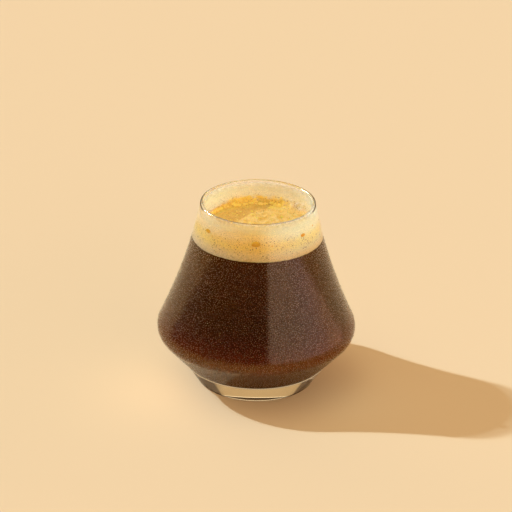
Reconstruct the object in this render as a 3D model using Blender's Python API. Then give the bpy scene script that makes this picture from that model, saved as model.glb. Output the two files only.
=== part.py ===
# An iced americano with a thick foam head, in a clear tumbler that widens to a low shoulder.
# Lengths are metres, +Z is up, and the origin is the centre of the underside of the foot.

import math
import random

import bmesh
import bpy
from mathutils import Matrix, Vector

MM = 0.001

# Driving dimensions of the glass, as radii and heights of its outer surface
HEIGHT = 94.4 * MM
WIDEST_RADIUS = 49.0 * MM
SHOULDER_HEIGHT = 28.7 * MM
SHOULDER_ROUNDING = 7.7 * MM
FOOT_RADIUS = 28.7 * MM
FOOT_ROUNDING = 1.8 * MM
CREASE_RADIUS = 35.0 * MM
CREASE_HEIGHT = 10.2 * MM
CREASE_ROUNDING = 1.5 * MM
RIM_RADIUS = 28.0 * MM
WALL_LEAN = math.radians(24.75)

# Thicknesses of the glass, the rim's measured level
BODY_WALL = 1.9 * MM
RIM_WALL = 1.5 * MM
BASE_THICKNESS = 10.4 * MM
FLOOR_ROUNDING = 2.6 * MM

# Levels of the drink, and the foam's lining, which climbs the wall and thins as it rises
COFFEE_LEVEL = 76.1 * MM
FOAM_LEVEL = 81.4 * MM
LINING_TOP = 88.0 * MM
LINING_THICKNESS = 0.5 * MM
MENISCUS_WIDTH = 3.5 * MM
MENISCUS_FALL = 1.2 * MM
GAP = 0.3 * MM

# Swells left by bubbles under the foam's top
SWELL_COUNT = 26
SWELL_SEED = 11
SWELL_RADII = (2.2 * MM, 5.0 * MM)
SWELL_HEIGHTS = (0.15 * MM, 0.45 * MM)
SWELL_REACH = 24.0 * MM

# Steps of the turned surfaces
TURN_STEPS = 60
CORNER_STEPS = 3
SHOULDER_STEPS_BELOW = 5
SHOULDER_STEPS_ABOVE = 3
WALL_STEPS = 8
LIP_STEPS = 6
LINING_STEPS = 8
FOAM_RINGS = 11
MERGE_DISTANCE = 0.001 * MM

GLASS_COLOUR = (0.93, 0.95, 0.94)
COFFEE_COLOUR = (0.045, 0.017, 0.005)
FOAM_COLOUR = (0.86, 0.52, 0.17)


# The lean from the vertical of the taper that leaves the crease and touches the shoulder's arc
def taper_lean():
    across = WIDEST_RADIUS - SHOULDER_ROUNDING - CREASE_RADIUS
    rise = SHOULDER_HEIGHT - CREASE_HEIGHT
    return math.atan2(across, rise) + math.asin(SHOULDER_ROUNDING / math.hypot(across, rise))


# The arc that rounds an outline's corner, from one straight side to the other
def rounded_corner(before, corner, after, rounding):
    back = (before - corner).normalized()
    onward = (after - corner).normalized()
    half = back.angle(onward) / 2
    centre = corner + (back + onward).normalized() * rounding / math.sin(half)
    spoke = corner + back * rounding / math.tan(half) - centre
    turn = math.copysign(math.pi - 2 * half, back.cross(onward))
    angles = [-turn * step / CORNER_STEPS for step in range(CORNER_STEPS + 1)]
    return [centre + Matrix.Rotation(angle, 2) @ spoke for angle in angles]


# The shoulder's arc, from the taper below it to the wall above it, moved in by an offset
def shoulder_arc(offset):
    centre = Vector((WIDEST_RADIUS - SHOULDER_ROUNDING, SHOULDER_HEIGHT))
    radius = SHOULDER_ROUNDING - offset
    below = [taper_lean() * step / SHOULDER_STEPS_BELOW for step in range(-SHOULDER_STEPS_BELOW, 0)]
    above = [WALL_LEAN * step / SHOULDER_STEPS_ABOVE for step in range(SHOULDER_STEPS_ABOVE + 1)]
    return [centre + radius * Vector((math.cos(angle), math.sin(angle))) for angle in below + above]


# The wall above the shoulder: straight at first, then easing upright towards the rim
def wall_point(share):
    start = shoulder_arc(0)[-1]
    rise = HEIGHT - RIM_WALL / 2 - start.y
    lean_in = rise * math.tan(WALL_LEAN)
    ease = RIM_RADIUS - start.x + lean_in
    return Vector((start.x - lean_in * share + ease * share ** 2, start.y + rise * share))


def outer_wall():
    return [wall_point(step / WALL_STEPS) for step in range(1, WALL_STEPS + 1)]


def inner_wall(gap):
    points = []
    for step in range(1, WALL_STEPS + 1):
        share = step / WALL_STEPS
        body = BODY_WALL / math.cos(WALL_LEAN)
        thickness = body + (RIM_WALL - body) * share
        points.append(wall_point(share) - Vector((thickness + gap, 0)))
    return points


# The inside of the glass from the floor's edge up to the lip, moved in by a gap
def cavity(gap):
    offset = BODY_WALL + gap
    lean = taper_lean()
    inward = Vector((-math.cos(lean), math.sin(lean)))
    along = Vector((math.sin(lean), math.cos(lean)))
    side = Vector((CREASE_RADIUS, CREASE_HEIGHT)) + inward * offset
    floor = Vector((0, BASE_THICKNESS + gap))
    corner = side + along * (floor.y - side.y) / along.y
    shoulder = shoulder_arc(offset)
    rounding = rounded_corner(floor, corner, shoulder[0], FLOOR_ROUNDING - gap)
    return rounding + shoulder + inner_wall(gap)


# The point where a rising outline reaches a level
def point_at(outline, level):
    for lower, upper in zip(outline, outline[1:]):
        if lower.y <= level <= upper.y:
            return lower.lerp(upper, (level - lower.y) / (upper.y - lower.y))


def glass_outline():
    crease = Vector((CREASE_RADIUS, CREASE_HEIGHT))
    foot = Vector((FOOT_RADIUS, 0))
    shoulder = shoulder_arc(0)
    outside = [Vector((0, 0))]
    outside += rounded_corner(outside[0], foot, crease, FOOT_ROUNDING)
    outside += rounded_corner(foot, crease, shoulder[0], CREASE_ROUNDING)
    outside += shoulder + outer_wall()
    lip_radius = RIM_WALL / 2
    lip_centre = outside[-1] - Vector((lip_radius, 0))
    lip = []
    for step in range(1, LIP_STEPS):
        angle = math.pi * step / LIP_STEPS
        lip.append(lip_centre + lip_radius * Vector((math.cos(angle), math.sin(angle))))
    return outside + lip + cavity(0)[::-1] + [Vector((0, BASE_THICKNESS))]


def coffee_outline():
    inside = cavity(GAP)
    below = [point for point in inside if point.y < COFFEE_LEVEL]
    bottom = Vector((0, BASE_THICKNESS + GAP))
    return [bottom] + below + [point_at(inside, COFFEE_LEVEL), Vector((0, COFFEE_LEVEL))]


# The foam's side, the inner face of its lining, and its level top
def foam_outline():
    inside = cavity(GAP)
    bottom = COFFEE_LEVEL + GAP
    side = [point_at(inside, bottom)]
    side += [point for point in inside if bottom < point.y < LINING_TOP]
    side.append(point_at(inside, LINING_TOP))
    lining = []
    for step in range(LINING_STEPS, -1, -1):
        climb = (LINING_TOP - FOAM_LEVEL) * (step / LINING_STEPS) ** 2
        thickness = LINING_THICKNESS + MENISCUS_WIDTH * math.exp(-climb / MENISCUS_FALL)
        lining.append(point_at(inside, FOAM_LEVEL + climb) - Vector((thickness, 0)))
    reach = lining[-1].x
    rings = [Vector((reach * ring / FOAM_RINGS, FOAM_LEVEL)) for ring in range(FOAM_RINGS - 1, -1, -1)]
    return [Vector((0, bottom))] + side + lining + rings


# Turns an outline of radii and heights about the upright axis into a closed mesh
def turned(outline):
    mesh = bmesh.new()
    points = [mesh.verts.new((point.x, 0, point.y)) for point in outline]
    lines = [mesh.edges.new(pair) for pair in zip(points, points[1:])]
    bmesh.ops.spin(mesh, geom=points + lines, cent=(0, 0, 0), axis=(0, 0, 1),
                   angle=math.tau, steps=TURN_STEPS, use_merge=True)
    bmesh.ops.remove_doubles(mesh, verts=mesh.verts, dist=MERGE_DISTANCE)
    bmesh.ops.recalc_face_normals(mesh, faces=mesh.faces)
    return mesh


# Raises low round swells over the foam's top, strewn by a seeded draw
def raise_swells(mesh):
    draw = random.Random(SWELL_SEED)
    top = [vert for vert in mesh.verts
           if vert.co.z > FOAM_LEVEL - GAP and vert.co.xy.length < SWELL_REACH]
    for _ in range(SWELL_COUNT):
        radius = draw.uniform(*SWELL_RADII)
        height = draw.uniform(*SWELL_HEIGHTS)
        distance = (SWELL_REACH - radius) * math.sqrt(draw.random())
        angle = draw.uniform(0, math.tau)
        centre = Vector((distance * math.cos(angle), distance * math.sin(angle)))
        for vert in top:
            share = (vert.co.xy - centre).length / radius
            if share < 1:
                vert.co.z += height * (1 - share ** 2) ** 2


def material(name, colour, roughness, transmission):
    made = bpy.data.materials.new(name)
    made.use_nodes = True
    surface = made.node_tree.nodes["Principled BSDF"].inputs
    surface["Base Color"].default_value = (*colour, 1)
    surface["Metallic"].default_value = 0
    surface["Roughness"].default_value = roughness
    surface["Transmission Weight"].default_value = transmission
    return made


def place(name, mesh, surface):
    data = bpy.data.meshes.new(name)
    mesh.to_mesh(data)
    mesh.free()
    data.materials.append(surface)
    data.shade_smooth()
    data.set_sharp_from_angle(angle=math.radians(35))
    bpy.context.scene.collection.objects.link(bpy.data.objects.new(name, data))


def build():
    for thing in list(bpy.data.objects):
        bpy.data.objects.remove(thing)
    place("glass", turned(glass_outline()), material("glass", GLASS_COLOUR, 0.02, 1))
    place("coffee", turned(coffee_outline()), material("coffee", COFFEE_COLOUR, 0.1, 0))
    foam = turned(foam_outline())
    raise_swells(foam)
    bmesh.ops.triangulate(foam, faces=foam.faces)
    place("foam", foam, material("foam", FOAM_COLOUR, 0.7, 0))


build()
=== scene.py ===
# Iced americano in a misted tumbler: finishes, foam, condensation, light and camera. Metres, +Z up.
import math
import random

import bmesh
import bpy
from mathutils import Matrix, Vector, noise


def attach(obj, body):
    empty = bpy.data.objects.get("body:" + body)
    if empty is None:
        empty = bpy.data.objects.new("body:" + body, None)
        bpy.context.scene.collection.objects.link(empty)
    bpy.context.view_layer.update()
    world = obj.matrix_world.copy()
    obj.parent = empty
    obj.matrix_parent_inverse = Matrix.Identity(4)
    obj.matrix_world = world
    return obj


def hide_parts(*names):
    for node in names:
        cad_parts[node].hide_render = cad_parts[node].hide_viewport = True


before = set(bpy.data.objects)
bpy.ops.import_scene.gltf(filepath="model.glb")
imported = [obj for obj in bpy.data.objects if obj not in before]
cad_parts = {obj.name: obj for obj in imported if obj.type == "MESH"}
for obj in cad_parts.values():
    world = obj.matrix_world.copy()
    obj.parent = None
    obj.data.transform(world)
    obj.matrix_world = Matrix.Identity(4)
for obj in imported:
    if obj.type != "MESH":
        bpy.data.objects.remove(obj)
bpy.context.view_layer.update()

mm = 0.001


# Helpers for modelling

def startPiece():
    if bpy.context.object and bpy.context.object.mode == "EDIT":
        bpy.ops.object.mode_set(mode="OBJECT")
    bpy.ops.object.select_all(action="DESELECT")


def pickOnly(piece):
    startPiece()
    piece.select_set(True)
    bpy.context.view_layer.objects.active = piece


def arcPoints(centre, radius, start, end, steps):
    # angles in radians, 0 points away from the axis and a quarter turn points up
    turns = [start + (end - start) * step / steps for step in range(steps + 1)]
    return [centre + radius * Vector((math.cos(turn), math.sin(turn))) for turn in turns]


def roundCorner(before, corner, after, radius, steps):
    back = (before - corner).normalized()
    onward = (after - corner).normalized()
    half = back.angle(onward) / 2
    centre = corner + (back + onward).normalized() * radius / math.sin(half)
    spoke = corner + back * radius / math.tan(half) - centre
    turn = math.copysign(math.pi - 2 * half, back.cross(onward))
    return [centre + Matrix.Rotation(-turn * step / steps, 2) @ spoke for step in range(steps + 1)]


def settleOrder(piece):
    # Extruding leaves points and faces in an order that changes from run to run,
    # and the draws that strew beads over them follow that order.
    spots = [tuple(vert.co) for vert in piece.data.vertices]
    order = sorted(range(len(spots)), key=spots.__getitem__)
    rank = {vert: index for index, vert in enumerate(order)}
    faces = []
    for face in piece.data.polygons:
        corners = [rank[vert] for vert in face.vertices]
        first = corners.index(min(corners))
        faces.append(corners[first:] + corners[:first])
    settled = bpy.data.meshes.new(piece.name)
    settled.from_pydata([spots[vert] for vert in order], [], sorted(faces))
    piece.data = settled


def editAll(piece):
    pickOnly(piece)
    bpy.ops.object.mode_set(mode="EDIT")
    bpy.ops.mesh.select_all(action="SELECT")


def turnRings(name, outline, sides):
    # A disc whose edge is pulled from ring to ring along the outline, then closed on the axis
    startPiece()
    first = outline[0]
    bpy.ops.mesh.primitive_circle_add(vertices=sides, radius=first.x, fill_type="TRIFAN")
    piece = bpy.context.object
    piece.name = name
    editAll(piece)
    bpy.ops.transform.translate(value=(0, 0, first.y))
    bpy.ops.mesh.select_mode(type="EDGE")
    bpy.ops.mesh.region_to_loop()
    for here, there in zip(outline, outline[1:]):
        rise = {"value": (0, 0, there.y - here.y)}
        bpy.ops.mesh.extrude_region_move(TRANSFORM_OT_translate=rise)
        grow = there.x / here.x
        bpy.ops.transform.resize(value=(grow, grow, 1), center_override=(0, 0, there.y))
    bpy.ops.mesh.merge(type="CENTER")
    bpy.ops.mesh.select_all(action="SELECT")
    bpy.ops.mesh.remove_doubles(threshold=0.001 * mm)
    bpy.ops.mesh.normals_make_consistent(inside=False)
    bpy.ops.object.mode_set(mode="OBJECT")
    settleOrder(piece)
    bpy.ops.object.shade_smooth()
    return piece


def applyAll(piece):
    pickOnly(piece)
    for modifier in list(piece.modifiers):
        bpy.ops.object.modifier_apply(modifier=modifier.name)


def ownWith(piece, slot, *nodes):
    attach(piece, "root")
    if nodes:
        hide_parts(*nodes)


# The tumbler's outline, in the CAD's own sizes

tumbler = {
    "height": 94.4 * mm, "widest": 49.0 * mm, "shoulderUp": 28.7 * mm,
    "shoulderRound": 7.7 * mm, "foot": 28.7 * mm, "footRound": 1.8 * mm,
    "crease": 35.0 * mm, "creaseUp": 10.2 * mm, "creaseBead": 0.4 * mm,
    "rim": 28.0 * mm, "lean": math.radians(24.75), "bodyWall": 1.9 * mm,
    "rimWall": 1.5 * mm, "base": 10.4 * mm, "floorRound": 2.6 * mm,
    "sides": 160, "shoulderSteps": (10, 6), "cornerSteps": 6,
    "wallSteps": 24, "lipSteps": 12, "flatRings": (10 * mm, 22 * mm),
    "beadSink": 0.3, "beadArc": (math.radians(-108), math.radians(40), 8),
    "ringsUnderBead": (0.90, 0.93, 0.955), "ringsOverBead": (0.04, 0.06, 0.09),
}

# The steps of the inner wall where the foam and its bubbles follow it
fineSteps = 60


def taperLean():
    across = tumbler["widest"] - tumbler["shoulderRound"] - tumbler["crease"]
    rise = tumbler["shoulderUp"] - tumbler["creaseUp"]
    return math.atan2(across, rise) + math.asin(tumbler["shoulderRound"] / math.hypot(across, rise))


def shoulderArc(inset):
    centre = Vector((tumbler["widest"] - tumbler["shoulderRound"], tumbler["shoulderUp"]))
    radius = tumbler["shoulderRound"] - inset
    below, above = tumbler["shoulderSteps"]
    points = arcPoints(centre, radius, -taperLean(), 0, below)
    return points + arcPoints(centre, radius, 0, tumbler["lean"], above)[1:]


def wallAt(share):
    start = shoulderArc(0)[-1]
    rise = tumbler["height"] - tumbler["rimWall"] / 2 - start.y
    leanIn = rise * math.tan(tumbler["lean"])
    ease = tumbler["rim"] - start.x + leanIn
    return Vector((start.x - leanIn * share + ease * share ** 2, start.y + rise * share))


def insideOutline(inset, steps=tumbler["wallSteps"]):
    # the inner face from the floor's edge to the lip, moved in from the wall by an inset
    lean = taperLean()
    offset = tumbler["bodyWall"] + inset
    inward = Vector((-math.cos(lean), math.sin(lean)))
    along = Vector((math.sin(lean), math.cos(lean)))
    side = Vector((tumbler["crease"], tumbler["creaseUp"])) + inward * offset
    floor = Vector((0, tumbler["base"] + inset))
    corner = side + along * (floor.y - side.y) / along.y
    shoulder = shoulderArc(offset)
    points = roundCorner(floor, corner, shoulder[0], tumbler["floorRound"] - inset,
                         tumbler["cornerSteps"]) + shoulder
    body = tumbler["bodyWall"] / math.cos(tumbler["lean"])
    for step in range(1, steps + 1):
        share = step / steps
        thickness = body + (tumbler["rimWall"] - body) * share
        points.append(wallAt(share) - Vector((thickness + inset, 0)))
    return points


def reach(outline, level):
    for lower, upper in zip(outline, outline[1:]):
        if lower.y <= level <= upper.y:
            return lower.lerp(upper, (level - lower.y) / (upper.y - lower.y))


def flatRings(radii, level):
    return [Vector((radius, level)) for radius in radii]


def makeTumbler():
    crease = Vector((tumbler["crease"], tumbler["creaseUp"]))
    foot = Vector((tumbler["foot"], 0))
    shoulder = shoulderArc(0)
    steps = tumbler["wallSteps"]
    corner = tumbler["footRound"], tumbler["cornerSteps"]
    outside = roundCorner(Vector((0, 0)), foot, crease, *corner)
    outside += [foot.lerp(crease, share) for share in tumbler["ringsUnderBead"]]
    bead = crease - Vector((tumbler["beadSink"] * tumbler["creaseBead"], 0))
    outside += arcPoints(bead, tumbler["creaseBead"], *tumbler["beadArc"])
    outside += [crease.lerp(shoulder[0], share) for share in tumbler["ringsOverBead"]]
    outside += shoulder + [wallAt(step / steps) for step in range(1, steps + 1)]
    lipRadius = tumbler["rimWall"] / 2
    lipCentre = outside[-1] - Vector((lipRadius, 0))
    lip = arcPoints(lipCentre, lipRadius, 0, math.pi, tumbler["lipSteps"])[1:-1]
    under = flatRings(tumbler["flatRings"], 0)
    floor = flatRings(tumbler["flatRings"][::-1], tumbler["base"])
    outline = under + outside + lip + insideOutline(0)[::-1] + floor
    return turnRings("misted_tumbler", outline, tumbler["sides"])


# The coffee reaches a little way into the wall, so that no air shows behind the glass

coffee = {"level": 76.1 * mm, "intoWall": 0.12 * mm, "innerRing": 12 * mm}


def makeCoffee():
    inside = insideOutline(-coffee["intoWall"])
    below = [point for point in inside if point.y < coffee["level"]]
    bottom = [Vector((coffee["innerRing"], below[0].y))]
    top = [reach(inside, coffee["level"]), Vector((coffee["innerRing"], coffee["level"]))]
    return turnRings("black_coffee", bottom + below + top, tumbler["sides"])


# The foam head: a level top with swells, a meniscus, and a lining that climbs the wall
# and thins to a film of fine bubbles under the rim

foam = {
    "level": 81.4 * mm, "bottom": 75.9 * mm, "liningTop": 88.0 * mm,
    "filmTop": 93.3 * mm, "liningThickness": 0.5 * mm, "filmThickness": 0.12 * mm,
    "meniscusWidth": 3.5 * mm, "meniscusFall": 1.2 * mm, "intoWall": 0.15 * mm,
    "wallGap": 0.3 * mm, "innerRing": 14 * mm, "sides": 288,
    "rings": 56, "filmSteps": 10, "liningSteps": 24,
    "liningCurve": 1.5, "swells": 26, "swellSeed": 11,
    "swellRadii": (2.2 * mm, 5.0 * mm), "swellHeights": (0.15 * mm, 0.45 * mm),
    "swellReach": 24.0 * mm, "edgeFall": 0.45 * mm,
    "edgeDepth": 0.05 * mm, "edgeRadius": 30 * mm, "edgeDip": 0.5,
    "edgeRipples": ((14, 0.3, 1.0), (45, 0.7, 0.6)),
    "reliefs": (("foamLumps", 3.0 * mm, 1.5 * mm), ("foamCells", 1.1 * mm, 0.5 * mm)),
    "reliefMiddle": 0.45, "reliefEdge": 0.5 * mm, "reliefFade": 2 * mm,
}


def ease(value, low, high):
    return min(1, max(0, (value - low) / (high - low)))


def ringThickness(climb):
    # from the inner wall to the foam's open face, at a climb over its level top
    return foam["liningThickness"] + foam["meniscusWidth"] * math.exp(-climb / foam["meniscusFall"])


def foamOutline():
    inside = insideOutline(-foam["intoWall"], fineSteps)
    side = [reach(inside, foam["bottom"])]
    side += [point for point in inside if foam["bottom"] < point.y < foam["filmTop"]]
    side.append(reach(inside, foam["filmTop"]))
    inner = insideOutline(foam["wallGap"], fineSteps)
    lining = []
    for step in range(foam["filmSteps"], 0, -1):
        share = step / foam["filmSteps"]
        level = foam["liningTop"] + (foam["filmTop"] - foam["liningTop"]) * share
        thickness = foam["liningThickness"] * (1 - share) + foam["filmThickness"] * share
        face = reach(inner, min(level, inner[-1].y)) + Vector((foam["wallGap"] * share, 0))
        lining.append(Vector((face.x - thickness, level)))
    for step in range(foam["liningSteps"], -1, -1):
        share = (step / foam["liningSteps"]) ** foam["liningCurve"]
        climb = (foam["liningTop"] - foam["level"]) * share
        face = reach(inner, foam["level"] + climb)
        lining.append(face - Vector((ringThickness(climb), 0)))
    edge, rings = lining[-1].x, foam["rings"]
    top = flatRings([edge * ring / rings for ring in range(rings - 1, 0, -1)], foam["level"])
    return [Vector((foam["innerRing"], foam["bottom"]))] + side + lining + top


def raiseSwells(piece):
    # the same seeded swells as the solid's, each pulled up from one point with a soft falloff
    draw = random.Random(foam["swellSeed"])
    editAll(piece)
    for _ in range(foam["swells"]):
        radius = draw.uniform(*foam["swellRadii"])
        height = draw.uniform(*foam["swellHeights"])
        distance = (foam["swellReach"] - radius) * math.sqrt(draw.random())
        angle = draw.uniform(0, math.tau)
        spot = Vector((distance * math.cos(angle), distance * math.sin(angle), foam["level"]))
        bpy.ops.mesh.select_mode(type="VERT")
        bpy.ops.mesh.select_all(action="DESELECT")
        mesh = bmesh.from_edit_mesh(piece.data)
        nearest = min(mesh.verts, key=lambda vert: (vert.co - spot).length_squared)
        nearest.select_set(True)
        bmesh.update_edit_mesh(piece.data)
        bpy.ops.transform.translate(value=(0, 0, height), use_proportional_edit=True,
                                    use_proportional_connected=True, proportional_size=radius,
                                    proportional_edit_falloff="SMOOTH")
    bpy.ops.object.mode_set(mode="OBJECT")


def roughenEdge(piece):
    # the foam's lower edge dips unevenly into the coffee
    for vert in piece.data.vertices:
        low = vert.co.z < foam["bottom"] + foam["edgeDepth"]
        if low and vert.co.xy.length > foam["edgeRadius"]:
            out = vert.co.xy.normalized()
            dip = foam["edgeDip"]
            for scale, place, share in foam["edgeRipples"]:
                dip += share * noise.noise(Vector((out.x, out.y, place)) * scale)
            vert.co.z -= foam["edgeFall"] * max(0, dip)


def makeFoam():
    piece = turnRings("foam_head", foamOutline(), foam["sides"])
    raiseSwells(piece)
    roughenEdge(piece)
    inner = insideOutline(foam["wallGap"], fineSteps)
    openFace = piece.vertex_groups.new(name="openFace")
    for vert in piece.data.vertices:
        if vert.co.z < foam["level"] - 0.1 * mm:
            continue
        depth = reach(inner, min(vert.co.z, foam["liningTop"])).x - vert.co.xy.length
        fade = ease(vert.co.z, foam["liningTop"], foam["liningTop"] - foam["reliefFade"])
        openFace.add([vert.index], ease(depth, 0, foam["reliefEdge"]) * fade, "REPLACE")
    for name, size, height in foam["reliefs"]:
        texture = bpy.data.textures.new(name, "CLOUDS")
        texture.noise_scale = size
        relief = piece.modifiers.new(name, "DISPLACE")
        relief.texture = texture
        relief.vertex_group = "openFace"
        relief.strength = height
        relief.mid_level = foam["reliefMiddle"]
    applyAll(piece)
    return piece


# Bubbles that stand in the foam: a golden crust along the back and left of the wall, a few
# on the top. Turns are in degrees, and the crust climbs from its lower to its upper top.

froth = {
    "crust": {"count": 240, "turns": (58, 200), "low": 81.7 * mm, "tops": (82.6 * mm, 86.4 * mm),
              "climb": (150, 112), "under": 0.5 * mm, "gather": 1.6,
              "radii": (0.35 * mm, 0.95 * mm), "seed": 5},
    "top": {"count": 90, "reach": 24.5 * mm, "proud": 0.15 * mm, "radii": (0.2 * mm, 0.6 * mm),
            "seed": 8},
    "sunk": 0.35,
    "flatness": 0.8,
}


def unitBubble():
    startPiece()
    bpy.ops.mesh.primitive_ico_sphere_add(subdivisions=2, radius=1)
    bubble = bpy.context.object
    editAll(bubble)
    bpy.ops.transform.resize(value=(1, 1, froth["flatness"]))
    bpy.ops.object.mode_set(mode="OBJECT")
    bpy.ops.object.shade_smooth()
    return bubble


def copyOf(piece, shape=None):
    twin = piece.copy()
    twin.data = piece.data.copy()
    bpy.context.scene.collection.objects.link(twin)
    if shape:
        twin.data.transform(shape)
    return twin


def bubbleAt(unit, place, outward, radius):
    turn = outward.to_track_quat("Z", "Y").to_matrix().to_4x4()
    return copyOf(unit, Matrix.Translation(place) @ turn @ Matrix.Scale(radius, 4))


def joinAs(name, pieces):
    startPiece()
    for piece in pieces:
        piece.select_set(True)
    bpy.context.view_layer.objects.active = pieces[0]
    bpy.ops.object.join()
    whole = bpy.context.object
    whole.name = name
    return whole


def crustTop(turn):
    low, high = froth["crust"]["tops"]
    return low + (high - low) * ease(turn, *froth["crust"]["climb"])


def makeFroth():
    unit = unitBubble()
    bubbles = []
    crust, top = froth["crust"], froth["top"]
    draw = random.Random(crust["seed"])
    inner = insideOutline(foam["wallGap"], fineSteps)
    for _ in range(crust["count"]):
        turn = draw.uniform(*crust["turns"])
        low, high = crust["low"], crustTop(turn) - crust["under"]
        turn = math.radians(turn)
        level = low + (high - low) * draw.random() ** crust["gather"]
        radius = draw.uniform(*crust["radii"]) * (1.1 - 0.5 * (level - low) / (high - low))
        out = Vector((math.cos(turn), math.sin(turn), 0))
        distance = reach(inner, level).x - ringThickness(level - foam["level"])
        place = out * (distance + froth["sunk"] * radius) + Vector((0, 0, level))
        bubbles.append(bubbleAt(unit, place, -out + Vector((0, 0, 0.5)), radius))
    draw = random.Random(top["seed"])
    for _ in range(top["count"]):
        distance = top["reach"] * math.sqrt(draw.random())
        turn = draw.uniform(0, math.tau)
        radius = draw.uniform(*top["radii"])
        place = Vector((distance * math.cos(turn), distance * math.sin(turn),
                        foam["level"] + top["proud"]))
        bubbles.append(bubbleAt(unit, place, Vector((0, 0, 1)), radius))
    bpy.data.objects.remove(unit)
    return joinAs("foam_bubbles", bubbles)


# Amber pockets pressed flat against the wall: turn from the front, level, width and height

pockets = {
    "places": ((-1.5, 83.6, 4.8, 4.6), (-55, 85.0, 4.6, 3.1), (48.5, 84.9, 4.0, 2.6),
               (-48, 84.2, 1.3, 1.0), (14, 83.3, 1.3, 1.0), (66, 87.0, 1.6, 1.2)),
    "proud": 0.12 * mm,
    "depth": 0.5 * mm,
}


def makePockets():
    unit = unitBubble()
    outer = insideOutline(-foam["intoWall"] - pockets["proud"], fineSteps)
    depth = pockets["depth"]
    made = []
    for turn, level, width, height in pockets["places"]:
        spot = reach(outer, level * mm)
        turned = Matrix.Rotation(math.radians(turn - 90), 4, "Z")
        place = turned @ Matrix.Translation((spot.x - depth, 0, spot.y))
        halfHeight = height * mm / (2 * froth["flatness"])
        shape = Matrix.Diagonal((depth, width * mm / 2, halfHeight, 1))
        made.append(copyOf(unit, place @ shape))
    bpy.data.objects.remove(unit)
    return joinAs("amber_pockets", made)


print("Shapes of the glass and the drink")
glassPiece = makeTumbler()
coffeePiece = makeCoffee()
foamPiece = makeFoam()
frothPiece = makeFroth()
pocketPiece = makePockets()


# Condensation, strewn over the outside of the glass: fine mist and some larger beads

mistBeads = {
    "density": 2400000, "spacing": 0.72 * mm, "sizes": (0.19 * mm, 0.36 * mm),
    "zone": (11.4 * mm, 76.8 * mm), "tall": 0.09, "rings": 1,
    "seed": 4, "roughness": 0.44,
}

waterBeads = {
    "density": 160000, "spacing": 1.6 * mm, "sizes": (0.22 * mm, 0.46 * mm),
    "zone": (11.4 * mm, 91.0 * mm), "tall": 0.20, "rings": 2,
    "seed": 9, "roughness": 0.05,
}

# in shares of a bead's radius
beadShape = {"sides": 6, "sink": 0.08, "shoulder": 0.7}


def scatterTree(name, unit, settings):
    tree = bpy.data.node_groups.new(name, "GeometryNodeTree")
    for socket, way in (("Ground", "INPUT"), ("Beads", "OUTPUT")):
        tree.interface.new_socket(socket, in_out=way, socket_type="NodeSocketGeometry")
    ground = tree.nodes.new("NodeGroupInput")
    strewn = tree.nodes.new("GeometryNodeDistributePointsOnFaces")
    strewn.distribute_method = "POISSON"
    strewn.inputs["Distance Min"].default_value = settings["spacing"]
    strewn.inputs["Density Max"].default_value = settings["density"]
    strewn.inputs["Seed"].default_value = settings["seed"]
    shape = tree.nodes.new("GeometryNodeObjectInfo")
    shape.inputs["Object"].default_value = unit
    size = tree.nodes.new("FunctionNodeRandomValue")
    size.inputs[2].default_value, size.inputs[3].default_value = settings["sizes"]
    size.inputs["Seed"].default_value = settings["seed"] + 1
    copies = tree.nodes.new("GeometryNodeInstanceOnPoints")
    real = tree.nodes.new("GeometryNodeRealizeInstances")
    result = tree.nodes.new("NodeGroupOutput")
    for giver, taker in (
        (ground.outputs["Ground"], strewn.inputs["Mesh"]),
        (strewn.outputs["Points"], copies.inputs["Points"]),
        (strewn.outputs["Rotation"], copies.inputs["Rotation"]),
        (shape.outputs["Geometry"], copies.inputs["Instance"]),
        (size.outputs[1], copies.inputs["Scale"]),
        (copies.outputs["Instances"], real.inputs["Geometry"]),
        (real.outputs["Geometry"], result.inputs["Beads"]),
    ):
        tree.links.new(giver, taker)
    return tree


def unitBead(rings, tall):
    # a low six-sided dome, its foot just under the glass
    sink, shoulder = beadShape["sink"], beadShape["shoulder"]
    startPiece()
    bpy.ops.mesh.primitive_circle_add(vertices=beadShape["sides"], radius=1, fill_type="NGON")
    bead = bpy.context.object
    editAll(bead)
    bpy.ops.transform.translate(value=(0, 0, -sink))
    bpy.ops.mesh.mark_sharp()
    rise = {"value": (0, 0, sink + tall)}
    if rings == 2:
        rise["value"] = (0, 0, sink + shoulder * tall)
        bpy.ops.mesh.extrude_region_move(TRANSFORM_OT_translate=rise)
        bpy.ops.transform.resize(value=(shoulder, shoulder, 1))
        bpy.ops.mesh.mark_sharp(clear=True)
        rise["value"] = (0, 0, (1 - shoulder) * tall)
    bpy.ops.mesh.extrude_region_move(TRANSFORM_OT_translate=rise)
    bpy.ops.mesh.merge(type="CENTER")
    bpy.ops.mesh.select_all(action="SELECT")
    bpy.ops.mesh.normals_make_consistent(inside=False)
    bpy.ops.object.mode_set(mode="OBJECT")
    bpy.ops.object.shade_smooth()
    return bead


def outsideBetween(name, source, low, high):
    # a copy of a turned piece's faces between two levels, those that face away from its axis
    startPiece()
    skin = copyOf(source)
    skin.name = name
    mesh = bmesh.new()
    mesh.from_mesh(skin.data)
    drop = []
    for face in mesh.faces:
        centre = face.calc_center_median()
        facing = centre.x * face.normal.x + centre.y * face.normal.y
        if not low < centre.z < high or facing <= 0:
            drop.append(face)
    bmesh.ops.delete(mesh, geom=drop, context="FACES")
    mesh.to_mesh(skin.data)
    mesh.free()
    return skin


def makeBeads(name, settings):
    unit = unitBead(settings["rings"], settings["tall"])
    piece = outsideBetween(name, glassPiece, *settings["zone"])
    modifier = piece.modifiers.new(name, "NODES")
    modifier.node_group = scatterTree(name, unit, settings)
    applyAll(piece)
    bpy.data.objects.remove(unit)
    triangles = sum(len(face.vertices) - 2 for face in piece.data.polygons)
    print(name, triangles, "triangles")
    return piece


print("Condensation")
mistPiece = makeBeads("fine_mist", mistBeads)
waterPiece = makeBeads("water_beads", waterBeads)


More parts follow.
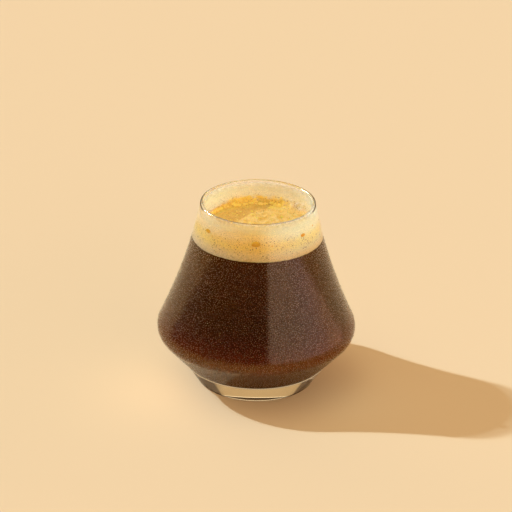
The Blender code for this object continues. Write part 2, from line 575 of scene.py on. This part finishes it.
# Helpers for materials

def put(tree, kind, inputs=None, **settings):
    node = tree.nodes.new("ShaderNode" + kind)
    for name, value in settings.items():
        setattr(node, name, value)
    for name, value in (inputs or {}).items():
        if isinstance(value, bpy.types.Node):
            value = value.outputs[0]
        if isinstance(value, bpy.types.NodeSocket):
            tree.links.new(value, node.inputs[name])
        else:
            node.inputs[name].default_value = value
    return node


def newMaterial(name):
    made = bpy.data.materials.new(name)
    made.use_nodes = True
    made.node_tree.nodes.clear()
    return made, made.node_tree


def dress(piece, made):
    piece.data.materials.clear()
    piece.data.materials.append(made)


def spotOf(tree):
    return put(tree, "TexCoord").outputs["Object"]


def partOf(tree, vector, axis):
    return put(tree, "SeparateXYZ", {"Vector": vector}).outputs[axis]


def sizeOf(tree, value):
    return put(tree, "Math", {0: value}, operation="ABSOLUTE").outputs[0]


def combine(tree, operation, first, second, clamp=False):
    return put(tree, "Math", {0: first, 1: second}, operation=operation, use_clamp=clamp).outputs[0]


def times(tree, *shares):
    product = shares[0]
    for share in shares[1:]:
        product = combine(tree, "MULTIPLY", product, share)
    return product


def greatest(tree, *shares):
    found = shares[0]
    for share in shares[1:]:
        found = combine(tree, "MAXIMUM", found, share)
    return found


def without(tree, whole, part):
    return combine(tree, "SUBTRACT", whole, part, True)


def mapped(tree, value, start, end, least=0.0, most=1.0):
    return put(tree, "MapRange", {"Value": value, "From Min": start, "From Max": end,
                                  "To Min": least, "To Max": most}).outputs["Result"]


def softStep(tree, value, start, end):
    return put(tree, "MapRange", {"Value": value, "From Min": start, "From Max": end},
               interpolation_type="SMOOTHSTEP").outputs["Result"]


def atHeight(tree, start, end):
    return mapped(tree, partOf(tree, spotOf(tree), "Z"), start, end)


def axisDistance(tree, where):
    flat = multiplied(tree, where, (1, 1, 0))
    return put(tree, "VectorMath", {0: flat}, operation="LENGTH").outputs[1]


def noiseOf(tree, where, scale, detail, roughness=0.5):
    return put(tree, "TexNoise", {"Vector": where, "Scale": scale, "Detail": detail,
                                  "Roughness": roughness}).outputs["Fac"]


def softNoise(tree, where, scale, start, end, most=1.0):
    return mapped(tree, noiseOf(tree, where, scale, 4, 0.65), start, end, 0.0, most)


def bumpOf(tree, height, depth, strength):
    return put(tree, "Bump", {"Height": height, "Distance": depth, "Strength": strength}).outputs[0]


def multiplied(tree, first, second):
    return put(tree, "VectorMath", {0: first, 1: second}, operation="MULTIPLY").outputs[0]


def scaled(tree, colour, gain):
    return put(tree, "VectorMath", {0: colour, 3: gain}, operation="SCALE").outputs[0]


def blend(tree, factor, first, second):
    pair = [(*end, 1) if isinstance(end, tuple) else end for end in (first, second)]
    return put(tree, "Mix", {0: factor, 6: pair[0], 7: pair[1]}, data_type="RGBA").outputs[2]


def rampOf(tree, factor, stops):
    ramp = put(tree, "ValToRGB", {"Fac": factor})
    elements = ramp.color_ramp.elements
    while len(elements) < len(stops):
        elements.new(0.5)
    for element, (place, colour) in zip(elements, stops):
        element.position = place
        element.color = (*colour, 1)
    return ramp.outputs["Color"]


# Misted glass: rough and pebbled by fine droplets, clear at the foot and the lip

glassLook = {
    "footRoughness": 0.02, "mistRoughness": 0.06, "lipRoughness": 0.12,
    "patchScale": 90, "patchRoughness": 0.02, "grainSize": 0.45 * mm,
    "grainDepth": 0.012 * mm, "misted": (10.8 * mm, 91.4 * mm), "mistFade": 1.5 * mm,
    "ior": 1.5, "beadIor": 1.33, "warmth": (1.0, 0.67, 0.18),
    # on the next line, the first colour is a painted shade mixed into the glass and the second the
    # glow of painted highlight lines
    "paintedShade": (0.09, 0.042, 0.014), "lines": (0.62, 0.50, 0.30), "footShade": (0.32, 0.29, 0.25),
    "wallShade": (0.96, 0.95, 0.93),
}

# Where painted shade darkens the glass or a painted highlight line shows on it: each pair runs from
# none to all of it
glassZones = {
    "lip": (92.8 * mm, 93.4 * mm), "lipOutside": (27.0 * mm, 27.35 * mm),
    "lipEdgeOn": (0.57, 0.68), "lipDark": 0.92, "lipTop": (94.08 * mm, 94.24 * mm),
    "lipFront": (-12 * mm, -18 * mm), "lipTopDark": 0.4, "taper": (24 * mm, 17 * mm),
    "taperDark": 0.38, "foot": (10.2 * mm, 9.6 * mm), "footLeft": (-14 * mm, -22 * mm),
    "footDark": 0.5, "sole": (0.52 * mm, 0.42 * mm), "soleRound": (1.5 * mm, 1.2 * mm),
    "soleAside": (12 * mm, 17 * mm), "soleDark": 0.85,
    "creaseLine": ((9.98 * mm, 10.1 * mm), (10.55 * mm, 10.45 * mm)),
    "footLine": ((0.55 * mm, 0.75 * mm), (1.15 * mm, 0.95 * mm)),
    "footShade": (12 * mm, 9 * mm),
}


def lightThrough(tree, surface, shade):
    # light that only passes through on its way to the drink or the floor isn't bent
    path = put(tree, "LightPath").outputs
    through = greatest(tree, path["Is Shadow Ray"], path["Is Diffuse Ray"])
    clear = put(tree, "BsdfTransparent", {"Color": shade})
    mixed = put(tree, "MixShader", {"Fac": through, 1: surface, 2: clear})
    put(tree, "OutputMaterial", {"Surface": mixed})


def paintedShadeParts(tree, where, asideWidth):
    # painted shade: a dark diffuse is mixed in where the lip is seen edge on or from the front,
    # standing in for the dark room the lip would refract; over the taper and the foot's left side,
    # so that they mirror little; and where the foot meets the table, as a painted contact shadow
    zones = glassZones
    facing = put(tree, "LayerWeight", {"Blend": 0.5}).outputs["Facing"]
    lip = times(tree, softStep(tree, facing, *zones["lipEdgeOn"]), atHeight(tree, *zones["lip"]),
                softStep(tree, axisDistance(tree, where), *zones["lipOutside"]))
    lipTop = times(tree, atHeight(tree, *zones["lipTop"]),
                   softStep(tree, partOf(tree, where, "Y"), *zones["lipFront"]))
    foot = atHeight(tree, *zones["foot"])
    taper = without(tree, atHeight(tree, *zones["taper"]), foot)
    left = times(tree, foot, softStep(tree, partOf(tree, where, "X"), *zones["footLeft"]))
    sole = greatest(tree, atHeight(tree, *zones["sole"]),
                    times(tree, atHeight(tree, *zones["soleRound"]), asideWidth))
    parts = ((lip, "lipDark"), (lipTop, "lipTopDark"), (taper, "taperDark"), (left, "footDark"),
             (sole, "soleDark"))
    return greatest(tree, *[times(tree, share, zones[strength]) for share, strength in parts])


def lightLines(tree, asideWidth):
    # painted highlights: the crease and the round of the foot's front glow in thin lines, standing
    # in for the light they catch
    bands = []
    for name in ("creaseLine", "footLine"):
        under, over = glassZones[name]
        start = atHeight(tree, *under)
        if name == "footLine":
            start = without(tree, start, asideWidth)
        bands.append(times(tree, start, atHeight(tree, *over)))
    return combine(tree, "ADD", *bands)


def makeGlassMaterial():
    look = glassLook
    made, tree = newMaterial("misted_glass")
    where = spotOf(tree)
    lowest, highest = look["misted"]
    overFoot = atHeight(tree, lowest, lowest + look["mistFade"])
    underLip = atHeight(tree, highest, highest - look["mistFade"])
    base = mapped(tree, overFoot, 0, 1, look["footRoughness"], look["mistRoughness"])
    lip = mapped(tree, underLip, 0, 1, look["lipRoughness"], 0)
    patches = softNoise(tree, where, look["patchScale"], 0.3, 0.7, look["patchRoughness"])
    roughness = combine(tree, "ADD", greatest(tree, base, lip), patches)
    grain = times(tree, noiseOf(tree, where, 1 / look["grainSize"], 2, 0.6), overFoot, underLip)
    aside = sizeOf(tree, partOf(tree, where, "X"))
    asideWidth = softStep(tree, aside, *glassZones["soleAside"])
    # painted highlight: emission along the crease and foot lines
    shine = blend(tree, lightLines(tree, asideWidth), (0, 0, 0), look["lines"])
    surface = put(tree, "BsdfPrincipled", {
        "Roughness": roughness, "IOR": look["ior"], "Transmission Weight": 1,
        "Normal": bumpOf(tree, grain, look["grainDepth"], 1), "Base Color": (1, 1, 1, 1),
        "Specular Tint": (*look["warmth"], 1), "Emission Color": shine, "Emission Strength": 1})
    # a dark diffuse mixed in as painted shade
    paintedShade = put(tree, "BsdfDiffuse", {"Color": (*look["paintedShade"], 1)})
    withPaintedShade = put(tree, "MixShader", {"Fac": paintedShadeParts(tree, where, asideWidth), 1: surface, 2: paintedShade})
    inFoot = atHeight(tree, *glassZones["footShade"])
    shade = blend(tree, inFoot, look["wallShade"], look["footShade"])
    lightThrough(tree, withPaintedShade, shade)
    return made


def makeBeadMaterial(name, rough):
    made, tree = newMaterial(name)
    uneven = noiseOf(tree, spotOf(tree), 400, 1)
    roughness = mapped(tree, uneven, 0, 1, rough * 0.95, rough * 1.15)
    surface = put(tree, "BsdfPrincipled", {
        "Roughness": roughness, "IOR": glassLook["beadIor"], "Transmission Weight": 1,
        "Base Color": (1, 1, 1, 1), "Specular Tint": (*glassLook["warmth"], 1)})
    lightThrough(tree, surface, (1, 1, 1, 1))
    return made


# Coffee: nearly black, with red-brown painted into its colour near the shoulder where light gets
# through (a painted glow)

coffeeLook = {
    "levels": (10 * mm, 76 * mm),
    "stops": [
        (0.00, (0.042, 0.010, 0.000)),
        (0.20, (0.050, 0.013, 0.000)),
        # painted glow: these red-brown stops near the shoulder stand in for light getting through
        # the coffee
        (0.245, (0.105, 0.026, 0.001)),
        (0.275, (0.096, 0.020, 0.000)),
        (0.31, (0.078, 0.011, 0.000)),
        (0.40, (0.048, 0.006, 0.000)),
        (0.52, (0.038, 0.008, 0.000)),
        (1.00, (0.054, 0.013, 0.000)),
    ],
    "drift": 0.02,
    "roughness": 0.4,
    "shine": 0.1,
    "speckSize": 0.6 * mm,
    "speckle": (0.6, 1.5),
}


def makeCoffeeMaterial():
    made, tree = newMaterial("black_coffee")
    where = spotOf(tree)
    swirl = noiseOf(tree, where, 60, 3)
    drift = mapped(tree, swirl, 0, 1, -coffeeLook["drift"], coffeeLook["drift"])
    level = combine(tree, "ADD", atHeight(tree, *coffeeLook["levels"]), drift)
    ramped = rampOf(tree, level, coffeeLook["stops"])
    specks = noiseOf(tree, where, 1 / coffeeLook["speckSize"], 2, 0.7)
    gain = mapped(tree, specks, 0.3, 0.7, *coffeeLook["speckle"])
    surface = put(tree, "BsdfPrincipled", {
        "Base Color": scaled(tree, ramped, gain), "Roughness": coffeeLook["roughness"],
        "Specular IOR Level": coffeeLook["shine"]})
    put(tree, "OutputMaterial", {"Surface": surface})
    return made


# Foam: golden, mottled and full of pinholes

foamLook = {
    "dishPale": (0.76, 0.445, 0.17),
    "dishGolden": (0.63, 0.287, 0.045),
    "cream": (0.85, 0.70, 0.54),
    "crust": (0.77, 0.56, 0.12),
    "crustDeep": (0.64, 0.41, 0.06),
    "sideLevels": (76 * mm, 91 * mm),
    "sideStops": [
        (0.00, (0.73, 0.51, 0.27)),
        (0.18, (0.84, 0.59, 0.27)),
        (0.40, (0.94, 0.65, 0.18)),
        (0.56, (0.93, 0.64, 0.22)),
        (0.70, (0.92, 0.66, 0.33)),
        (1.00, (0.93, 0.69, 0.40)),
    ],
    "sideDrift": 0.16,
    "pinhole": (0.34, 0.15, 0.03),
    "pinholeStops": [(0.0, (0.1,) * 3), (0.2, (1,) * 3), (0.62, (1,) * 3), (0.8, (0.15,) * 3)],
    "cellSize": 0.55 * mm,
    "pinholeSize": 0.85 * mm,
    "cellDepth": 0.10 * mm,
    "fleck": (0.64, 1.24),
    "roughness": 0.55,
    "glowDepth": (3 * mm, 2.5 * mm, 1.8 * mm),
}

bubbleLook = {
    "golden": (0.84, 0.55, 0.18), "goldenRoughness": 0.35, "amber": (0.78, 0.365, 0.012),
    "amberLight": (0.90, 0.52, 0.06), "amberRoughness": 0.2, "cellSize": 0.5 * mm,
    "pinholeSize": 1.2 * mm, "pinholes": 0.08, "cellDepth": 0.06 * mm,
    "glowDepth": (2.5 * mm, 1.6 * mm, 0.8 * mm),
}

# Painted shadow of the rim on the foam's top: a ball round the centre, outside of which the top is
# painted in shade
foamShadow = {
    "centre": (44.1 * mm, -26.3 * mm, 82 * mm), "reach": 62.5 * mm, "soft": 0.3 * mm,
    "deepWidth": 13 * mm, "levels": (84.6 * mm, 83.0 * mm), "shadowTone": (0.97, 0.89, 0.68),
    "deepShadowTone": (0.76, 0.58, 0.42),
}

# Painted glow: emission standing in for light that has wandered through the foam and comes out of
# it, by where that is
foamGlow = {
    "side": (0.085, 0.062, 0.007), "leftSide": (0.01, 0.005, 0.0),
    "sideAcross": (-4 * mm, -20 * mm), "sunlitLevels": (75.5 * mm, 79.5 * mm),
    "sunlitTint": (0.97, 1.14, 1.42), "sunlit": (0.03, 0.12, 0.10),
    "sunlitPale": (0.04, 0.16, 0.18), "paleLevels": (83.5 * mm, 86 * mm),
    "top": (0.26, 0.18, 0.03), "wall": (0.13, 0.18, 0.13), "leftWall": (0.13, 0.24, 0.17),
    "leftAcross": (-8 * mm, -22 * mm), "rightWall": (0.12, 0.11, 0.0),
    "rightAcross": (12 * mm, 22 * mm),
}

# The film over the lining: it thins out towards the rim, and lets some lamplight by
foamFilm = {
    "levels": (88.2 * mm, 93.2 * mm), "least": 0.35, "wear": 0.25,
    "lightBy": 0.5, "lightLevels": (82.8 * mm, 83.6 * mm),
}


def bubbleGroup():
    # fine bubble cells: a height for bump, and a mask of the few open pinholes
    tree = bpy.data.node_groups.new("bubbleCells", "ShaderNodeTree")
    for name in ("Cell Size", "Pinhole Size", "Pinholes"):
        tree.interface.new_socket(name, in_out="INPUT", socket_type="NodeSocketFloat")
    tree.interface.new_socket("Vector", in_out="INPUT", socket_type="NodeSocketVector")
    for name in ("Height", "Pinhole Mask"):
        tree.interface.new_socket(name, in_out="OUTPUT", socket_type="NodeSocketFloat")
    given = tree.nodes.new("NodeGroupInput").outputs
    fine = combine(tree, "DIVIDE", 1.0, given["Cell Size"])
    cells = put(tree, "TexVoronoi", {"Vector": given["Vector"], "Scale": fine})
    wide = combine(tree, "DIVIDE", 1.0, given["Pinhole Size"])
    holes = put(tree, "TexVoronoi", {"Vector": given["Vector"], "Scale": wide})
    pick = put(tree, "SeparateColor", {"Color": holes.outputs["Color"]}).outputs
    few = combine(tree, "LESS_THAN", pick[0], given["Pinholes"])
    size = mapped(tree, pick[1], 0, 1, 0.20, 0.45)
    near = combine(tree, "SUBTRACT", size, holes.outputs["Distance"])
    mask = times(tree, few, combine(tree, "MULTIPLY", near, 12.0, True))
    height = combine(tree, "SUBTRACT", cells.outputs["Distance"], mask)
    result = tree.nodes.new("NodeGroupOutput")
    tree.links.new(height, result.inputs["Height"])
    tree.links.new(mask, result.inputs["Pinhole Mask"])
    return tree


bubbles = bubbleGroup()


def putBubbles(tree, where, look, share, strength):
    given = {"Vector": where, "Pinholes": share, "Cell Size": look["cellSize"],
             "Pinhole Size": look["pinholeSize"]}
    cells = put(tree, "Group", given, node_tree=bubbles).outputs
    return cells["Pinhole Mask"], bumpOf(tree, cells["Height"], look["cellDepth"], strength)


def foamSurface(tree, settings, glowDepth):
    surface = put(tree, "BsdfPrincipled", {
        **settings, "Subsurface Weight": 1, "Subsurface Radius": glowDepth,
        "Subsurface Scale": 1, "Emission Strength": 1})
    put(tree, "OutputMaterial", {"Surface": surface})


def paintedRimShadow(tree, where):
    # painted shadow: the rim's shadow is painted across the top with a crisp edge
    far, soft, centre = foamShadow["reach"], foamShadow["soft"], foamShadow["centre"]
    away = put(tree, "VectorMath", {0: where, 1: centre}, operation="DISTANCE").outputs[1]
    shaded = times(tree, softStep(tree, away, far - soft, far + soft),
                   atHeight(tree, *foamShadow["levels"]))
    deepShadowTone = softStep(tree, away, far + foamShadow["deepWidth"], far)
    shadowTone = blend(tree, deepShadowTone, foamShadow["shadowTone"], foamShadow["deepShadowTone"])
    return blend(tree, shaded, (1, 1, 1), shadowTone)


def foamCover(tree, where):
    thin = atHeight(tree, *foamFilm["levels"])
    cover = mapped(tree, thin, 0, 1, 1, foamFilm["least"])
    worn = times(tree, softNoise(tree, where, 500, 0.35, 0.65, foamFilm["wear"]), thin)
    lightBy = times(tree, atHeight(tree, *foamFilm["lightLevels"]), foamFilm["lightBy"],
                    put(tree, "LightPath").outputs["Is Shadow Ray"])
    return times(tree, without(tree, cover, worn), combine(tree, "SUBTRACT", 1.0, lightBy))


def foamLightOut(tree, where, outer, sunny, creamy):
    # painted glow by where the foam sits: its side, the lamp-lit side, the top and the walls
    glow = foamGlow
    beside = partOf(tree, where, "X")
    left = softStep(tree, beside, *glow["sideAcross"])
    side = blend(tree, left, glow["side"], glow["leftSide"])
    side = blend(tree, sunny, side, glow["sunlit"])
    pale = times(tree, sunny, atHeight(tree, *glow["paleLevels"]))
    side = blend(tree, pale, side, glow["sunlitPale"])
    left = softStep(tree, beside, *glow["leftAcross"])
    walls = blend(tree, left, glow["wall"], glow["leftWall"])
    right = softStep(tree, beside, *glow["rightAcross"])
    walls = blend(tree, right, walls, glow["rightWall"])
    inside = blend(tree, creamy, glow["top"], walls)
    return blend(tree, outer, inside, side)


def makeFoamMaterial():
    look = foamLook
    made, tree = newMaterial("golden_foam")
    where = spotOf(tree)
    share = atHeight(tree, *look["sideLevels"])
    outer, climbing, crusty, sunlit = [
        put(tree, "Attribute", attribute_name=name).outputs["Fac"] for name in foamPaint["layers"]]
    drift = softNoise(tree, where, 160, 0.0, 1.0, look["sideDrift"])
    level = combine(tree, "SUBTRACT", combine(tree, "ADD", share, drift), look["sideDrift"] / 2)
    side = rampOf(tree, level, look["sideStops"])
    patches = softNoise(tree, where, 400, 0.42, 0.62)
    dish = blend(tree, patches, look["dishPale"], look["dishGolden"])
    clumps = softNoise(tree, where, 420, 0.46, 0.66)
    lumps = blend(tree, clumps, look["crust"], look["crustDeep"])
    inner = blend(tree, climbing, dish, look["cream"])
    inner = blend(tree, crusty, inner, lumps)
    # painted shadow of the rim across the top
    inner = multiplied(tree, inner, paintedRimShadow(tree, where))
    base = blend(tree, outer, inner, side)
    spots = softNoise(tree, where, 900, 0.55, 0.75, 0.45)
    spotted = blend(tree, spots, base, look["crust"])
    # painted light: where the lamp lights the side through the glass, the colour is tinted paler and
    # bluer
    sunny = times(tree, sunlit, outer, atHeight(tree, *foamGlow["sunlitLevels"]))
    tint = blend(tree, sunny, (1, 1, 1), foamGlow["sunlitTint"])
    flecks = mapped(tree, softNoise(tree, where, 2000, 0.3, 0.7), 0, 1, *look["fleck"])
    flecked = scaled(tree, multiplied(tree, spotted, tint), flecks)
    crowd = softNoise(tree, where, 190, 0.36, 0.60, 0.7)
    mask, normal = putBubbles(tree, where, look, crowd, 0.8)
    holes = times(tree, mask, rampOf(tree, share, look["pinholeStops"]))
    creamy = without(tree, climbing, crusty)
    foamSurface(tree, {
        "Base Color": blend(tree, holes, flecked, look["pinhole"]),
        "Roughness": look["roughness"], "Alpha": foamCover(tree, where), "Normal": normal,
        "Specular IOR Level": 0.3,
        "Emission Color": foamLightOut(tree, where, outer, sunny, creamy)}, look["glowDepth"])
    return made


def makeBubbleMaterial(name, first, second, rough, glow):
    made, tree = newMaterial(name)
    where = spotOf(tree)
    colour = blend(tree, softNoise(tree, where, 380, 0.40, 0.62), first, second)
    _, normal = putBubbles(tree, where, bubbleLook, bubbleLook["pinholes"], 0.6)
    foamSurface(tree, {"Base Color": colour, "Roughness": rough, "Normal": normal,
                       "Specular IOR Level": 0.4, "Emission Color": (*glow, 1)},
                bubbleLook["glowDepth"])
    return made


# What is painted on the foam's points: where it faces the glass, how far it has climbed,
# where its golden crust lies, and a painted light mask of where the lamp lights it through the
# glass.
# Turns are in degrees.

foamPaint = {
    "layers": ("outerSide", "climb", "crust", "sunlit"), "outside": 20 * mm,
    "climb": (82.2 * mm, 83.8 * mm), "ripple": 0.9 * mm, "sunTurn": -17,
    "sunlit": (0.3, 0.85), "crustTurns": ((48, 66), (215, 185)),
    "crustLevels": (81.7 * mm, 82.2 * mm), "crustFade": 2 * mm,
    "crustRing": (21 * mm, 24.5 * mm),
}


def paintFoam(piece):
    paint = foamPaint
    for name in paint["layers"]:
        piece.data.attributes.new(name, "FLOAT", "POINT")
    outer, climb, crust, sunlit = [piece.data.attributes[name].data for name in paint["layers"]]
    for vert in piece.data.vertices:
        spot, ring = vert.co, vert.co.xy.length
        facing = vert.normal.x * spot.x + vert.normal.y * spot.y
        outer[vert.index].value = float(facing > 0.2 * ring and ring > paint["outside"])
        ripple = noise.noise(spot * 240) * paint["ripple"]
        climb[vert.index].value = ease(spot.z + ripple, *paint["climb"])
        turn = math.degrees(math.atan2(spot.y, spot.x)) % 360
        # painted light mask: the side the lamp lights through the glass
        away = math.cos(math.radians(turn - paint["sunTurn"]))
        sunlit[vert.index].value = ease(away, *paint["sunlit"])
        start, end = paint["crustTurns"]
        sector = ease(turn, *start) * ease(turn, *end)
        wall = ease(spot.z, *paint["crustLevels"])
        top = crustTop(turn)
        below = ease(spot.z - 1.6 * ripple, top, top - paint["crustFade"])
        near = ease(ring, *paint["crustRing"])
        patch = 1.0 + 1.1 * noise.noise(spot * 330 + Vector((3, 1, 2)))
        crust[vert.index].value = ease(sector * below * max(wall, 0.6 * near) * patch, 0, 1)


print("Materials")
paintFoam(foamPiece)
dress(glassPiece, makeGlassMaterial())
dress(mistPiece, makeBeadMaterial("fine_mist", mistBeads["roughness"]))
dress(waterPiece, makeBeadMaterial("water_beads", waterBeads["roughness"]))
dress(coffeePiece, makeCoffeeMaterial())
dress(foamPiece, makeFoamMaterial())
# the crust bubbles glow with the same painted emission as the foam's top
dress(frothPiece, makeBubbleMaterial("foam_bubbles", foamLook["crust"], bubbleLook["golden"],
                                     bubbleLook["goldenRoughness"], foamGlow["top"]))
dress(pocketPiece, makeBubbleMaterial("amber_pockets", bubbleLook["amber"],
                                      bubbleLook["amberLight"], bubbleLook["amberRoughness"],
                                      (0, 0, 0)))

ownWith(glassPiece, "glass", "glass")
ownWith(mistPiece, "glass")
ownWith(waterPiece, "glass")
ownWith(coffeePiece, "coffee", "coffee")
ownWith(foamPiece, "foam", "foam")
ownWith(frothPiece, "foam")
ownWith(pocketPiece, "foam")


# The floor, the lamps, the studio round it and the camera

stage = {
    "floorSize": 30,
    "floorColour": (0.92, 0.665, 0.386),
    "lamp": {"place": (-0.805, 0.249, 0.795), "colour": (0.52, 0.738, 1.0), "power": 24.4,
             "radius": 0.010, "leastSlant": 0.2},
    "glint": {"place": (-0.90, 0.456, 0.56), "colour": (1, 1, 1), "power": 170, "radius": 0.28},
    "left_fill": {"place": (-0.035, -0.012, 0.047), "colour": (1.0, 0.757, 0.515),
                  "power": 0.0290, "radius": 0},
    "right_fill": {"place": (0.044, -0.028, 0.032), "colour": (0.72, 1.0, 1.0),
                   "power": 0.0026, "radius": 0},
}


def makeFloor():
    startPiece()
    bpy.ops.mesh.primitive_plane_add(size=stage["floorSize"])
    floor = bpy.context.object
    floor.name = "floor"
    made, tree = newMaterial("floor_paper")
    fibre = noiseOf(tree, spotOf(tree), 900, 2)
    surface = put(tree, "BsdfPrincipled", {
        "Base Color": (*stage["floorColour"], 1), "Roughness": 0.9,
        "Normal": bumpOf(tree, fibre, 0.02 * mm, 0.3), "Specular IOR Level": 0.0})
    put(tree, "OutputMaterial", {"Surface": surface})
    dress(floor, made)
    return floor


def startLamp(name):
    startPiece()
    bpy.ops.object.light_add(type="POINT", location=stage[name]["place"])
    lamp = bpy.context.object
    lamp.name = name
    lamp.data.color = stage[name]["colour"]
    lamp.data.energy = stage[name]["power"]
    lamp.data.shadow_soft_size = stage[name]["radius"]
    return lamp


def lightOnly(lamp, piece):
    lit = bpy.data.collections.new(lamp.name + "_lights")
    lit.objects.link(piece)
    lamp.light_linking.receiver_collection = lit


def makeLamp():
    # a small lamp near the table, evened out so that the whole floor is lit alike
    lamp = startLamp("lamp")
    lamp.visible_glossy = False
    lamp.visible_transmission = False
    lamp.data.use_nodes = True
    tree = lamp.data.node_tree
    tree.nodes.clear()
    way = put(tree, "TexCoord").outputs["Normal"]
    slant = greatest(tree, sizeOf(tree, partOf(tree, way, "Z")), stage["lamp"]["leastSlant"])
    level = put(tree, "LightFalloff", {"Strength": 1.0}).outputs["Constant"]
    glow = put(tree, "Emission", {"Strength": combine(tree, "DIVIDE", level, slant)})
    put(tree, "OutputLight", {"Surface": glow})


def makeGlint():
    # the lamp and the light round it, as the bare lip mirrors them
    lamp = startLamp("glint")
    lamp.visible_diffuse = False
    lamp.visible_transmission = False
    lightOnly(lamp, glassPiece)


def makeFills(floor):
    # even out the table beside the foot, as white cards held there do
    for name in ("left_fill", "right_fill"):
        fill = startLamp(name)
        fill.data.use_shadow = False
        lightOnly(fill, floor)


# Turns to the side and heights round the object, and the colours there for each kind of ray
studio = {
    "panel": {
        "left": math.radians(18), "slant": 0.145, "right": math.radians(136),
        "top": math.radians(32), "colour": (2.0, 1.30, 0.90), "mirrored": (1.95, 1.85, 4.2),
        "mirroredAside": (2.05, 1.40, 1.25),
        "asideTurns": (math.radians(60), math.radians(105)),
    },
    "behind": {
        "from": math.radians(135), "top": math.radians(42), "colour": (0.85, 0.61, 0.36),
        "through": (0.62, 0.375, 0.148), "narrower": math.radians(13), "aside": math.radians(3),
    },
    "ceiling": {
        "from": math.radians(44), "sides": (0.35, -0.35), "left": (0.94, 0.87, 0.65),
        "right": (0.47, 0.42, 0.32), "through": (0.34, 0.20, 0.09),
    },
    "horizon": (0.10, 0.075, 0.05),
    "through": (0.15, 0.088, 0.042),
    "backdrop": (0.92, 0.665, 0.386),
    "soft": math.radians(2),
}


def softEdge(tree, value, edge, width):
    # rises at the edge, or falls there if the width is negative
    return softStep(tree, value, edge - width, edge + width)


def makeWorld():
    world = bpy.data.worlds.new("studio")
    bpy.context.scene.world = world
    world.use_nodes = True
    tree = world.node_tree
    tree.nodes.clear()
    parts = put(tree, "SeparateXYZ", {"Vector": put(tree, "TexCoord").outputs["Generated"]}).outputs
    up = put(tree, "Math", {0: parts["Z"]}, operation="ARCSINE").outputs[0]
    turn = combine(tree, "ARCTAN2", parts["X"], times(tree, parts["Y"], -1.0))
    path = put(tree, "LightPath").outputs
    through = path["Is Transmission Ray"]
    soft = studio["soft"]
    panel, behind, ceiling = studio["panel"], studio["behind"], studio["ceiling"]
    # the window shows only in what is reflected
    slanted = combine(tree, "ADD", turn, times(tree, up, panel["slant"]))
    onPanel = times(tree, softEdge(tree, slanted, panel["left"], soft),
                    softEdge(tree, turn, panel["right"], -3 * soft),
                    softEdge(tree, up, panel["top"], -soft),
                    combine(tree, "SUBTRACT", 1.0, through))
    aside = softStep(tree, turn, *panel["asideTurns"])
    mirrored = blend(tree, aside, panel["mirrored"], panel["mirroredAside"])
    window = blend(tree, path["Is Glossy Ray"], panel["colour"], mirrored)
    shifted = combine(tree, "SUBTRACT", turn, times(tree, through, behind["aside"]))
    away = combine(tree, "SUBTRACT", sizeOf(tree, shifted), times(tree, through, behind["narrower"]))
    onBack = times(tree, softEdge(tree, away, behind["from"], soft),
                   softEdge(tree, up, behind["top"], -2 * soft))
    back = blend(tree, through, behind["colour"], behind["through"])
    above = softEdge(tree, up, ceiling["from"], 4 * soft)
    toLeft = softStep(tree, parts["X"], *ceiling["sides"])
    sides = blend(tree, toLeft, ceiling["right"], ceiling["left"])
    sides = blend(tree, through, sides, ceiling["through"])
    low = blend(tree, through, studio["horizon"], studio["through"])
    sky = blend(tree, onBack, blend(tree, above, low, sides), back)
    lit = blend(tree, onPanel, sky, window)
    shown = blend(tree, path["Is Camera Ray"], lit, studio["backdrop"])
    light = put(tree, "Background", {"Color": shown, "Strength": 1})
    put(tree, "OutputWorld", {"Surface": light})


camera = {
    "distance": 1.2, "up": math.radians(24.66), "aim": 65.27 * mm,
    "roll": 0.015, "pixelsPerMm": 2.0447, "picture": 512,
    "aside": 1.284, "sensor": 36, "nearest": 0.05,
}


def makeCamera():
    startPiece()
    bpy.ops.object.camera_add()
    seer = bpy.context.object
    back = Vector((0, -math.cos(camera["up"]), math.sin(camera["up"])))
    seer.location = Vector((0, 0, camera["aim"])) + back * camera["distance"]
    seer.rotation_mode = "QUATERNION"
    level = (-back).to_track_quat("-Z", "Y")
    seer.rotation_quaternion = level @ Matrix.Rotation(camera["roll"], 3, "Z").to_quaternion()
    focal = camera["pixelsPerMm"] * camera["distance"] / mm
    seer.data.sensor_width = camera["sensor"]
    seer.data.lens = camera["sensor"] * focal / camera["picture"]
    seer.data.shift_x = -camera["aside"] / camera["picture"]
    seer.data.clip_start = camera["nearest"]
    bpy.context.scene.camera = seer


print("Stage, light and camera")
floorPiece = makeFloor()
makeLamp()
makeGlint()
makeFills(floorPiece)
makeWorld()
makeCamera()
bpy.context.scene.view_settings.view_transform = "Standard"
